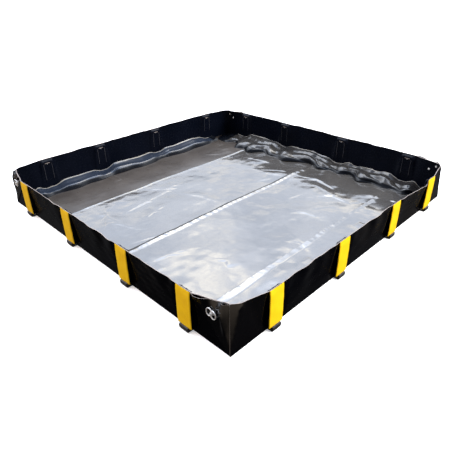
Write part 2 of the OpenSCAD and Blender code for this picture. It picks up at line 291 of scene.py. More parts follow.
M_YELLOW = yellow()
M_HEEL = moulded("heel_plastic", (0.010, 0.010, 0.011), (0.035, 0.035, 0.037))
M_CAP = moulded("cap_nut", (0.012, 0.012, 0.014), (0.045, 0.045, 0.05), (0.35, 0.5), 400)
M_ALU = metal("aluminium", (0.42, 0.43, 0.44), (0.6, 0.61, 0.62), (0.3, 0.45), (1, 1, 12))
M_STEEL = metal("pin_steel", (0.35, 0.35, 0.36), (0.55, 0.55, 0.56), (0.25, 0.4), (10, 10, 1))
M_STAIN = metal("stainless", (0.74, 0.73, 0.71), (0.9, 0.89, 0.87), (0.22, 0.36), (1, 1, 6), 90, 0.55)

for n, o in nodes.items():
    if n == "heel_blocks": m = M_HEEL
    elif n == "base_legs" or n.endswith("_uprights"): m = M_ALU
    elif n.endswith("cap_nuts"): m = M_CAP
    elif n in ("heel_rivets", "hinge_pins") or n.endswith("patch_rivets"): m = M_STEEL
    elif n.endswith(("wing_nut", "washers", "corner_bolts")): m = M_STAIN
    elif n.endswith("sleeve_faces"): m = M_YELLOW
    else: m = M_WALL
    o.data.materials.clear()
    o.data.materials.append(m)
    o.data.polygons.foreach_set("material_index", np.zeros(len(o.data.polygons), np.int32))

# ------------------------------------------------------------------ wall sheets
def near_station(k, a, w=0.062, fade=0.05):
    """1 on the flat stretch behind a sleeve, 0 away from it."""
    d = np.min([np.abs(a - s) for s in STATIONS[k]], axis=0)
    return 1 - smooth((d - w) / fade)


def corner_d(a):
    return np.maximum(S - np.abs(a), 0)


def top_out(k, a):
    """How far the top edge stands out: leaning out along the wall, drawn in at the corners."""
    d = corner_d(a)
    e = 0.0245
    m = 0.033 if k in (BACK, RIGHT) else e
    if k in (LEFT, RIGHT):
        out = np.interp(d, [0, 0.05, 0.09, 0.15, 0.20, 0.235, 0.27, 0.40, 0.55], [-0.033, -0.024, -0.016, -0.003, 0.008, 0.020, e, e, m])
    else:
        out = np.interp(d, [0, 0.02, 0.054, 0.117, 0.18, 0.215, 0.26, 0.40, 0.55], [-0.033, -0.018, -0.007, -0.003, 0.008, 0.016, e, e, m])
    st = near_station(k, a, 0.07, 0.08)
    return out * (1 - st) + np.minimum(out, e) * st


def lean_start(k, a):
    """The height above which the lean begins: low at the corner itself, high around the corner's fasteners and on the uprights."""
    d = corner_d(a)
    zf = np.interp(d, [0, 0.02, 0.045, 0.08, 0.10, 0.135, 0.17, 0.22, 0.27], [0.0, 0.12, 0.247, 0.25, 0.226, 0.226, 0.15, 0.02, 0.0])
    return zf + (0.249 - zf) * near_station(k, a, 0.048, 0.035)


def bulge(k, a, z):
    """How far the sheet stands out from its upright plane, in metres."""
    st = near_station(k, a)
    free = (1 - st) * smooth(corner_d(a) / 0.25 - 0.6)
    t = np.clip(z / H, 0, 1)
    w1, w2, w3 = wave1(10 + k, 5, 0.5), wave1(20 + k, 6, 0.21), waves(30 + k, 8, 0.16)
    zf = lean_start(k, a)
    g = np.clip((z - zf) / (H - zf), 0, 1)
    st2 = near_station(k, a, 0.048, 0.035)
    o = top_out(k, a) * (st2 * smooth(g) + (1 - st2) * g ** 1.25)
    o = o + (0.004 + 0.004 * w1(a)) * np.sin(np.pi * t) * free + 0.0045 * w2(a) * t ** 2 * free + 0.0012 * w3(a, z * 2) * free * t
    return o


def lean(k, a, z):
    return 0 * np.asarray(z)


def corner_in(k, z):
    """How far the wall round the corner leans in at this height (the two walls share their edge)."""
    return 0.033 * np.clip(z / H, 0, 1) ** 1.25


def rise(k, a):
    """The top edge climbs towards a corner; the far walls' edges stand a little higher."""
    d = corner_d(a)
    if k in (LEFT, RIGHT):
        r = np.interp(d, [0, 0.05, 0.09, 0.15, 0.20, 0.26], [0.0178, 0.017, 0.012, 0.004, 0.0, 0.0])
    else:
        r = np.interp(d, [0, 0.054, 0.117, 0.18, 0.26], [0.0178, 0.015, 0.006, 0.0, 0.0])
    return np.maximum(r, 0.0165 if k in (BACK, RIGHT) else 0.0)


def top_wave(k, a):
    w = wave1(40 + k, 6, 0.36)
    return (0.0030 if k in (FRONT, LEFT) else 0.0022) * w(a) * (1 - near_station(k, a)) * smooth(corner_d(a) / 0.25)


def sag(k, a):
    """The slack top edge beside the last sleeve of the front wall hangs low."""
    if k != FRONT:
        return 0 * np.asarray(a, float)
    return np.interp(a, [0.36, 0.45, 0.60, 0.75, 0.835, 0.850, 0.862], [0, 0.006, 0.018, 0.032, 0.042, 0.034, 0.0])


def wall_point(k, a, z0):
    """The sheet's outer face at (along, nominal height): along, outwards, up."""
    t = np.clip(z0 / H, 0, 1)
    z = z0 + (rise(k, a) + top_wave(k, a)) * smooth((t - 0.4) / 0.6) - sag(k, a) * smooth((t - 0.3) / 0.7)
    z = np.minimum(z, 0.2885 + 0.06 * (z0 - H))
    o = bulge(k, a, z0)
    aa = a - np.sign(a) * corner_in(k, z0) * (1 - smooth(corner_d(a) / 0.10))
    # the fasteners are rigid, so the cloth round them stays put along the wall too
    return aa, o, z


def wall_sheet(k, a0, a1, name, z_lo=0.0004, skin=None):
    """One stretch of wall, with a doubled hem along its top edge."""
    na = max(8, int((a1 - a0) / 0.0075))
    a = np.linspace(a0, a1, na)
    extra = [s + e for s in STATIONS[k] for e in (-0.0395, -0.0382, -0.0375, -0.0365, -0.0355, -0.034, -0.032, -0.0215, -0.021, 0.021, 0.0215, 0.032, 0.034, 0.0355, 0.0365, 0.0375, 0.0382, 0.0395) if a0 < s + e < a1]
    a = np.unique(np.concatenate([a, extra]))
    zs = np.unique(np.concatenate([np.linspace(z_lo, 0.05, 12), np.linspace(0.05, H - 0.016, 30), [0.1095, 0.1105, 0.2380, 0.2386, 0.2428, 0.2434, 0.2608, 0.2612], [H - 0.0102, H - 0.0098, H - 0.006, H - 0.002, H - 0.0006, H]]))
    A, Z = np.meshgrid(a, zs, indexing="ij")
    aa, o, z = wall_point(k, A, Z)
    hem = smooth((Z - (H - 0.0104)) / 0.0008)
    roll = np.sqrt(np.clip(1 - ((Z - (H - 0.002)) / 0.002).clip(0, 1) ** 2, 0, 1)) * 0.45 + 0.55
    # stiffening patch behind each upright, with welded edges and the mouth of its pocket
    ds = np.min([np.abs(A - q) for q in STATIONS[k]], axis=0)
    patch = (ds < 0.0376) * (Z > 0.110) * (Z < 0.261)
    ridge = np.exp(-((ds - 0.0355) / 0.0024) ** 2) * smooth((Z - 0.05) / 0.05) * (Z < 0.262)
    mouth = (ds < 0.0213) * (Z > 0.2383) * (Z < 0.2431)
    th = T + 0.0024 * hem * roll + 0.0012 * patch + 0.0026 * ridge + 0.0022 * mouth
    outer, inner = place(k, aa, o + 0.0, z), place(k, aa, o - th, z)
    v, f, m = sheet_mesh(outer, inner, rim_mat=1)
    # the cut edge shows on the topmost rows
    nu, nv = A.shape
    nf = (nu - 1) * (nv - 1)
    row = np.tile(np.arange(nv - 1), nu - 1)
    m[:nf][row >= nv - 2] = 1
    m[nf:2 * nf] = 2
    m[nf:2 * nf][row >= nv - 3] = 1
    mid = (mouth[:-1, :-1] & mouth[1:, :-1] & mouth[:-1, 1:] & mouth[1:, 1:]).reshape(-1)
    m[nf:2 * nf][mid] = 1
    # the lines along the patch's welded edges are painted paler than the cloth: a painted highlight on the ridges
    dm, zm = ((ds[:-1, :-1] + ds[1:, :-1]) / 2).reshape(-1), ((Z[:-1, :-1] + Z[:-1, 1:]) / 2).reshape(-1)
    m[nf:2 * nf][(np.abs(dm - 0.0355) < 0.0011) & (zm > 0.11) & (zm < 0.236)] = 3
    ob = new_object(name, v, f, [skin or M_WALL, M_EDGE, M_INNER, M_RIDGE_HIGHLIGHT], m)
    fix_normals(ob)
    crease_edges(ob, 50)
    return ob


for k in range(4):
    w = WALL[k]
    half = S - 0.003 if k in (LEFT, RIGHT) else S - SOFT
    ob = wall_sheet(k, -half, half, w + "_wall_sheet")
    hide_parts(w + "_wall_panel", w + "_skirt", w + "_top_hem", w + "_inner_patches")
    s, e = place(k, 0, 0, 0.002), place(k, 0, 0, 0.046)
    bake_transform(ob)
    if k in (FRONT, BACK):
        for sgn, side in ((-1, "a"), (1, "b")):
            lo, hi = sorted((sgn * (S + 0.0025), sgn * (S - SOFT)))
            c = wall_sheet(k, lo, hi, f"{w}_corner_sheet_{side}", skin=M_CORNER)
            if sgn > 0:
                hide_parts(w + "_corner_panels")
            # the soft end's end points and vertex positions are read back; nothing moves them
            s, e = place(k, sgn * (S - 0.004), 0, 0.1), place(k, sgn * (S - SOFT + 0.002), 0, 0.1)
            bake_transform(c)
            co = np.empty(len(c.data.vertices) * 3)
            c.data.vertices.foreach_get("co", co)
            co = co.reshape(-1, 3)

# ------------------------------------------------------------------ sleeves
def front_path():
    """(outwards, up) points of the sleeve's front, bottom to top, closing on the wall's top edge."""
    pts = [(SLEEVE_O - 0.0015, SLEEVE_Z0 - 0.003)]
    for z in np.linspace(SLEEVE_Z0, 0.2385, 24):
        pts.append((SLEEVE_O + 0.0010 * math.sin(math.pi * (z - SLEEVE_Z0) / 0.21), z))
    for o, z in ((0.0290, 0.2425), (0.0286, 0.2465), (0.0280, 0.251), (0.0275, 0.256), (0.0271, 0.261), (0.0268, 0.2655), (0.0264, 0.2685), (0.0256, 0.2702)):
        pts.append((o, z))
    return np.array(pts)


def sleeves(k):
    body, w = WALL[k] + "_wall", WALL[k]
    path = front_path()
    V, F, M, n0 = [], [], [], 0
    VY, FY, MY, ny = [], [], [], 0
    for i, s in enumerate(STATIONS[k]):
        r = np.random.default_rng(100 * k + i)
        # black pocket: a strip across the front, round the edges and back to the wall
        hw = SLEEVE_W / 2
        rr = 0.005
        prof = [(-hw - 0.008, 0.0), (-hw - 0.004, 0.0004), (-hw, 0.0035)]
        cols = []
        for u in np.linspace(0, 1, 4):
            cols.append((-hw, 0.16 + u * 0.6, 0))
        xs, os_ = [], []
        for x, o in [(-hw - 0.010, 0.0), (-hw - 0.003, 0.012), (-hw, 0.06), (-hw, 0.35), (-hw, 0.72), (-hw + 0.0012, 0.9), (-hw + 0.0045, 0.985)]:
            xs.append(x); os_.append(o)
        for x in np.linspace(-hw + 0.009, hw - 0.009, 11):
            xs.append(x); os_.append(1.0)
        for x, o in [(hw - 0.0045, 0.985), (hw - 0.0012, 0.9), (hw, 0.72), (hw, 0.35), (hw, 0.06), (hw + 0.003, 0.012), (hw + 0.010, 0.0)]:
            xs.append(x); os_.append(o)
        xs, os_ = np.array(xs), np.array(os_)
        A = s + xs[:, None] + 0 * path[None, :, 0]
        depth = path[None, :, 0]
        wob = 0.0006 * np.sin(path[None, :, 1] * 60 + r.uniform(0, 6)) * (np.abs(os_[:, None]) > 0.3)
        Z = path[None, :, 1] + 0 * A
        O = np.maximum(os_[:, None] * depth + wob + 0.0004, bulge(k, A, np.minimum(Z, H)) + 0.0005)
        Z = Z + rise(k, A) * smooth((Z / H - 0.4) / 0.6)
        outer = place(k, A, O, Z)
        inward = np.clip(os_, 0.04, 1)[:, None]
        sx = np.sign(xs)[:, None] * (np.abs(xs[:, None]) > hw - 0.002)
        inner = place(k, A - sx * 0.0012, np.maximum(O - 0.0012 * inward - 0.0001, 0.0001), Z)
        v, f, m = sheet_mesh(outer, inner, rim_mat=0, side_mat=1)
        V.append(v); F.append(f + n0); M.append(m); n0 += len(v)
        # yellow face on it, a little narrower, with its edges turned back
        yw = hw - 0.0005
        yx = np.array([-yw, -yw + 0.0006, -yw + 0.002, -yw + 0.006] + list(np.linspace(-yw + 0.014, yw - 0.014, 9)) + [yw - 0.006, yw - 0.002, yw - 0.0006, yw])
        yo = np.array([-0.0032, -0.0012, 0.0, 0.0006] + [0.0009] * 9 + [0.0006, 0.0, -0.0012, -0.0032])
        p2 = path.copy()
        nrm = np.gradient(p2, axis=0)
        nrm = np.stack([nrm[:, 1], -nrm[:, 0]], 1)
        nrm /= np.linalg.norm(nrm, axis=1)[:, None]
        skew = r.uniform(-0.0012, 0.0012)
        lift = 0.0012
        O1 = p2[None, :, 0] + nrm[None, :, 0] * (lift + yo[:, None])
        Z1 = p2[None, :, 1] + nrm[None, :, 1] * (lift + yo[:, None])
        A1 = s + yx[:, None] + skew * (p2[None, :, 1] / H - 0.5) * 2
        ripple = 0.0005 * np.sin(p2[None, :, 1] * 75 + r.uniform(0, 6)) * np.sin(yx[:, None] * 40 + r.uniform(0, 6))
        O1 = O1 + ripple
        O1 = np.maximum(O1, bulge(k, A1, np.minimum(Z1, H)) + 0.0022)
        Z1 = Z1 + rise(k, A1) * smooth((Z1 / H - 0.4) / 0.6)
        outer = place(k, A1, O1, Z1)
        inner = place(k, A1, O1 - nrm[None, :, 0] * 0.0009, Z1 - nrm[None, :, 1] * 0.0009)
        v, f, m = sheet_mesh(outer, inner)
        VY.append(v); FY.append(f + ny); MY.append(m); ny += len(v)
    ob = new_object(w + "_sleeve_fabric", np.concatenate(V), np.concatenate(F), [M_WALL, M_WALL], np.concatenate(M))
    fix_normals(ob); crease_edges(ob, 60)
    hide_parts(w + "_sleeves"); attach(ob, body)
    oy = new_object(w + "_yellow_faces", np.concatenate(VY), np.concatenate(FY), [M_YELLOW])
    fix_normals(oy); crease_edges(oy, 60)
    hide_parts(w + "_sleeve_faces"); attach(oy, body)


for k in range(4):
    sleeves(k)

# ------------------------------------------------------------------ corner ears
def ear(k, sgn, name):
    """The folded corner: an inner and an outer layer joined along a sloping crease."""
    L, nd, nz = 0.247, 46, 40
    d0 = np.concatenate([np.linspace(0.0, 0.05, 16), np.linspace(0.053, L, nd)])
    rows = []
    t = np.linspace(0, 1, nz)
    # parameter v runs down the outer layer from its lip to the crease, and up the inner layer
    D = d0[:, None]
    zc = 0.006 + D * 0.985                                # crease height at each distance
    top = H - 0.0005
    Zo = top + (zc - top) * t[None, :]
    u = np.clip((Zo - zc) / np.maximum(top - zc, 1e-6), 0, 1)
    lip = 0.023 * np.exp(-((D - 0.030) / 0.019) ** 2) + 0.020 * smooth((D - 0.138) / 0.045) * smooth((L + 0.004 - D) / 0.05)
    A = sgn * (S - D) + 0 * Zo
    aa, ow, zw = wall_point(k, A, np.minimum(Zo, H))
    soft = smooth((np.abs(D - 0.092) - 0.035) / 0.03)
    o_out = ow + 0.0040 + lip * u ** 1.9 + 0.0016 * np.sin(D * 55 + Zo * 31) * u * soft
    o_in = ow + 0.0012 + 0.0035 * np.exp(-((D - 0.030) / 0.02) ** 2) * u ** 2
    outer_up = place(k, aa, o_out, zw)
    # fold round the crease in a small half circle
    arc = np.linspace(0, np.pi, 6)[1:-1]
    mid = (o_out[:, -1:] + o_in[:, -1:]) / 2
    rad = (o_out[:, -1:] - o_in[:, -1:]) / 2
    fo = mid + rad * np.cos(arc)[None, :]
    fz = Zo[:, -1:] - rad * np.sin(arc)[None, :]
    fold = place(k, aa[:, -1:] + 0 * fo, fo, fz)
    inner_up = place(k, aa, o_in, zw)[:, ::-1]
    line = np.concatenate([outer_up, fold, inner_up], axis=1)
    # thickness towards the middle of the fold
    g = np.gradient(line, axis=1)
    along = np.array(place(k, 1, 0, 0) - place(k, 0, 0, 0), float)
    nrm = np.cross(g, along)
    nrm /= np.maximum(np.linalg.norm(nrm, axis=-1, keepdims=True), 1e-9)
    outdir = np.array(place(k, 0, 1, 0) - place(k, 0, 0, 0), float)
    if (nrm[:, 2] @ outdir).mean() < 0:
        nrm = -nrm
    v, f, m = sheet_mesh(line, line - nrm * 0.0011, rim_mat=1)
    nu, nv = line.shape[:2]
    nf = (nu - 1) * (nv - 1)
    # both lips show their cut edges
    nr = nu - 1
    m[2 * nf:2 * nf + nr] = 1
    m[2 * nf + nr:2 * nf + 2 * nr] = 1
    row = np.tile(np.arange(nv - 1), nu - 1)
    m[:nf][(row == 0) | (row == nv - 2)] = 0
    ob = new_object(name, v, f, [M_CORNER, M_EDGE], m)
    fix_normals(ob); crease_edges(ob, 50)
    s, e = place(k, sgn * (S - 0.0005), 0, 0.1), place(k, sgn * (S - 0.032), 0, 0.1)
    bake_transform(ob)
    return ob


for k in (LEFT, RIGHT):
    for sgn in (-1, 1):
        ob = ear(k, sgn, f"{WALL[k]}_ear_{'a' if sgn < 0 else 'b'}")
        if sgn > 0:
            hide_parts(WALL[k] + "_ear_outer", WALL[k] + "_ear_inner")

# ------------------------------------------------------------------ corner welts and looped wing nuts
def tube(path, radius, sides=10, closed=False):
    """Vertices and faces of a round bar along a path of points."""
    path = np.asarray(path, float)
    n = len(path)
    tan = np.roll(path, -1, 0) - np.roll(path, 1, 0) if closed else np.gradient(path, axis=0)
    tan /= np.linalg.norm(tan, axis=1)[:, None]
    ref = np.array([0.31, 0.22, 0.93]) if abs(tan[:, 2]).mean() < 0.8 else np.array([0.9, 0.3, 0.1])
    b1 = np.cross(tan, ref)
    b1 /= np.linalg.norm(b1, axis=1)[:, None]
    b2 = np.cross(tan, b1)
    th = np.linspace(0, 2 * np.pi, sides, endpoint=False)
    rad = np.broadcast_to(np.asarray(radius, float), (n,))
    v = (path[:, None, :] + rad[:, None, None] * (np.cos(th)[None, :, None] * b1[:, None, :] + np.sin(th)[None, :, None] * b2[:, None, :])).reshape(-1, 3)
    f = []
    for i in range(n if closed else n - 1):
        j = (i + 1) % n
        for q in range(sides):
            q2 = (q + 1) % sides
            f.append((i * sides + q, i * sides + q2, j * sides + q2, j * sides + q))
    if not closed:
        f.append(tuple(range(sides))[::-1])
        f.append(tuple((n - 1) * sides + q for q in range(sides)))
    return v, f


def corner_welt(k, sgn, name):
    z = np.linspace(0.004, H - 0.004, 50)
    lift = 0.0165 * smooth((z / H - 0.4) / 0.6)
    a = sgn * (S - 0.0015 - corner_in(k, z))
    o = -corner_in(k, z) + 0.0042
    v, f = tube(place(k, a, o, z + lift), 0.0021, 10)
    ob = new_object(name, v, f, [M_EDGE_DARK])
    fix_normals(ob)
    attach(ob, "base")
    return ob


def looped_wing_nut(side_k, sgn, name, node, body):
    """Two closed loops of round bar on a tapered hub, turned a little."""
    d, z0 = 0.115, 0.212
    ca, sa = math.cos(math.radians(4)), math.sin(math.radians(4)) * -sgn * (1 if side_k == LEFT else -1)
    V, F, n0 = [], [], 0
    for side in (-1, 1):
        ph = np.linspace(0, 2 * np.pi, 40, endpoint=False)
        out = (1 - np.cos(ph)) / 2
        y = side * (-0.0050 + 0.0385 * out)
        z = 0.0250 * np.sin(ph) * (0.85 + 0.15 * out)
        o = 0.0125 + 0.0015 * side + 0.002 * out
        aa = sgn * (S - d) + y * ca - z * sa
        zz = z0 + y * sa + z * ca
        v, f = tube(place(side_k, aa, o, zz), 0.0031, 12, closed=True)
        V.append(v); F += [tuple(i + n0 for i in q) for q in f]; n0 += len(v)
    th = np.linspace(0, 2 * np.pi, 32, endpoint=False)
    prof = [(0.0042, 0.0055), (0.0112, 0.0055), (0.0112, 0.0070), (0.0100, 0.0100), (0.0085, 0.0165), (0.0078, 0.0172), (0.0042, 0.0172)]
    ring = [place(side_k, sgn * (S - d) + r_ * np.cos(th), o_, z0 + r_ * np.sin(th)) for r_, o_ in prof]
    v = np.concatenate(ring)
    m_ = len(th)
    f = []
    for i in range(len(prof)):
        j = (i + 1) % len(prof)
        for q in range(m_):
            q2 = (q + 1) % m_
            f.append((i * m_ + q + n0, i * m_ + q2 + n0, j * m_ + q2 + n0, j * m_ + q + n0))
    V.append(v); F += f
    ob = new_object(name, np.concatenate(V), F, [M_STAIN])
    fix_normals(ob); crease_edges(ob, 40)
    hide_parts(node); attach(ob, body)
    return ob


M_EDGE_DARK = liner("welt_edge", (0.022, 0.019, 0.017), (0.055, 0.048, 0.043), (0.3, 0.4), 1.5)
for k in (LEFT, RIGHT):
    for sgn in (-1, 1):
        y_end = place(k, sgn, 0, 0)[1]
        nm = f"{WALL[k]}_{'front' if y_end < 0 else 'back'}"
        corner_welt(k, sgn, nm + "_corner_welt")
        looped_wing_nut(k, sgn, nm + "_looped_wing_nut", nm + "_wing_nut", nm + "_wing_nut")

# ------------------------------------------------------------------ floor
SEAMS = [-0.866, -0.082, 0.701]
fa, fb, fc, fd = waves(1, 7, 0.75), waves(2, 9, 0.33), waves(3, 12, 0.15), waves(4, 14, 0.07)
rc = np.random.default_rng(77)
# creases left by folding: runs of points on the floor, with a half width and a height
CREASES = [
    ([(-0.722, 0.625), (-0.851, 0.464), (-0.974, 0.241)], 0.011, 0.0042),
    ([(-0.773, 0.405), (-0.499, 0.442), (-0.254, 0.489), (-0.153, 0.531), (-0.071, 0.633)], 0.009, 0.0034),
    ([(-0.198, 0.371), (-0.121, 0.204), (-0.098, -0.01)], 0.009, 0.0032),
    ([(-0.849, 0.439), (-0.851, 0.26), (-0.814, 0.135)], 0.01, 0.0028),
    ([(0.802, 0.542), (0.829, 0.391), (0.861, 0.238)], 0.012, 0.0022),
    ([(0.213, -0.517), (0.237, -0.614), (0.246, -0.717)], 0.01, 0.003),
    ([(-1.001, -0.283), (-0.869, -0.303), (-0.712, -0.344)], 0.012, 0.0026),
    ([(0.787, -0.151), (0.824, -0.322), (0.752, -0.553)], 0.012, 0.005),
    ([(0.716, -0.395), (0.629, -0.593), (0.617, -0.768)], 0.01, 0.0045),
    ([(0.62, 0.309), (0.625, 0.091), (0.694, -0.052)], 0.012, 0.0036),
]
for _ in range(16):
    p = rc.uniform(-0.95, 0.95, 2)
    th, ln = rc.uniform(0, np.pi), rc.uniform(0.05, 0.22)
    e = np.array([np.cos(th), np.sin(th)]) * ln
    CREASES.append(([tuple(p - e), tuple(p + rc.uniform(-0.02, 0.02, 2)), tuple(p + e)], rc.uniform(0.007, 0.013), rc.uniform(0.0012, 0.0032)))


def crease_height(x, y, pts, width, amount):
    best, pos = np.full(x.shape, 9.0), np.zeros(x.shape)
    lens = [math.dist(pts[i], pts[i + 1]) for i in range(len(pts) - 1)]
    total, run = sum(lens), 0
    for i, ln in enumerate(lens):
        (x0, y0), (x1, y1) = pts[i], pts[i + 1]
        ux, uy = (x1 - x0) / ln, (y1 - y0) / ln
        s = np.clip((x - x0) * ux + (y - y0) * uy, 0, ln)
        dx, dy = x - x0 - s * ux, y - y0 - s * uy
        # steep on one side, long and gentle on the other
        d = np.hypot(dx, dy) / (1 + 5.0 * smooth(0.5 + 40 * (dx + dy)))
        pos = np.where(d < best, (run + s) / total, pos)
        best = np.minimum(best, d)
        run += ln
    ends = smooth(pos / 0.25) * smooth((1 - pos) / 0.25)
    return 1.05 * amount * np.exp(-(best / (1.2 * width)) ** 2) * (0.25 + 0.75 * ends)


def floor_height(x, y):
    """Height of the floor's upper face."""
    edge = np.minimum(S - np.abs(x), S - np.abs(y))
    inner = smooth((edge - 0.02) / 0.25)
    far = smooth((x - 0.55) / 0.35)
    h = 0.0056 + inner * (0.0026 * fa(x, y) + (0.0013 + 0.0016 * far) * fb(x, y)) + (0.25 + 0.75 * inner) * ((0.0005 + 0.0007 * far) * fc(x, y) + 0.00014 * fd(x, y))
    for pts, wd, am in CREASES:
        h = h + inner * crease_height(x, y, pts, wd, am)
    for i, y0 in enumerate(SEAMS):
        wob = 0.004 * np.sin(x * 3.1 + i) + 0.0015 * np.sin(x * 17 + 2 * i)
        t = y - y0 - wob
        puck = 0.5 + 0.5 * np.sin(x * (88 + 9 * i) + 55 * t + 2.2 * np.sin(x * 9 + i))
        mid = 1 - 0.55 * smooth((np.abs(x) - 0.88) / 0.10)
        # a lapped seam: the near sheet rises over the weld and drops sharply behind it
        run = np.interp(x, [-1.0, -0.6, 0.0, 0.5], [0.050, 0.040, 0.028, 0.022]) if i == 0 else (0, 0.026, 0.020)[i]
        up = mid * (0.0092, 0.0084, 0.0036)[i] * np.clip((t + run) / run, 0, 1) ** 1.12 * (1 - smooth(t / 0.004))
        h = h + up + (0.0008, 0.0017, 0.0006)[i] * puck * np.exp(-((t + 0.008) / 0.018) ** 2)
    return h


def build_floor():
    n = 300
    g = np.linspace(-S + 0.0018, S - 0.0018, n)
    gy = np.unique(np.concatenate([g] + [np.linspace(y0 - 0.03, y0 + 0.03, 25) for y0 in SEAMS]))
    X, Y = np.meshgrid(g, gy, indexing="ij")
    h = floor_height(X, Y)
    # the pockets of the base legs lift the floor a little
    for k in range(4):
        x, y = X, Y
        for _ in range((4 - k) % 4):
            x, y = -y, x
        inw = y + S
        for s in STATIONS[k]:
            b = (1 - smooth((np.abs(x - s) - 0.030) / 0.010)) * (1 - smooth((inw - 0.232) / 0.010))
            h = np.maximum(h, 0.0066 * b + (1 - b) * h)
    h = np.maximum(h, 0.0024)
    low = np.maximum(h - T, 0.0004)
    outer, inner = np.stack([X, Y, h], -1), np.stack([X, Y, low], -1)
    v, f, m = sheet_mesh(outer, inner)
    # the strip beyond the last seam shows the cloth's duller side
    cx = (Y[:-1, :-1] + Y[1:, 1:]).reshape(-1) / 2
    xx = (X[:-1, :-1] + X[1:, 1:]).reshape(-1) / 2
    wob = 0.004 * np.sin(xx * 3.1 + 2) + 0.0015 * np.sin(xx * 17 + 4)
    strip = cx > SEAMS[2] + wob + 0.002
    nf = len(strip)
    m[:nf][strip] = 1
    m[nf:2 * nf][strip] = 1
    # a dark strip behind each seam: the weld itself, and painted shade on the drop behind it
    for i, y0 in enumerate(SEAMS):
        w_ = 0.004 * np.sin(xx * 3.1 + i) + 0.0015 * np.sin(xx * 17 + 2 * i)
        weld_and_shade = np.abs(cx - y0 - w_ - (0.003, 0.013, 0.005)[i]) < (0.002, 0.013, 0.004)[i]
        m[:nf][weld_and_shade] = 2
    ob = new_object("floor_liner", v, f, [M_FLOOR, M_STRIP, M_WELD_AND_SHADE], m)
    fix_normals(ob)
    crease_edges(ob, 60)
    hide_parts("floor_sheet", "floor_seam_tapes")
    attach(ob, "base")
    return ob


floor_ob = build_floor()

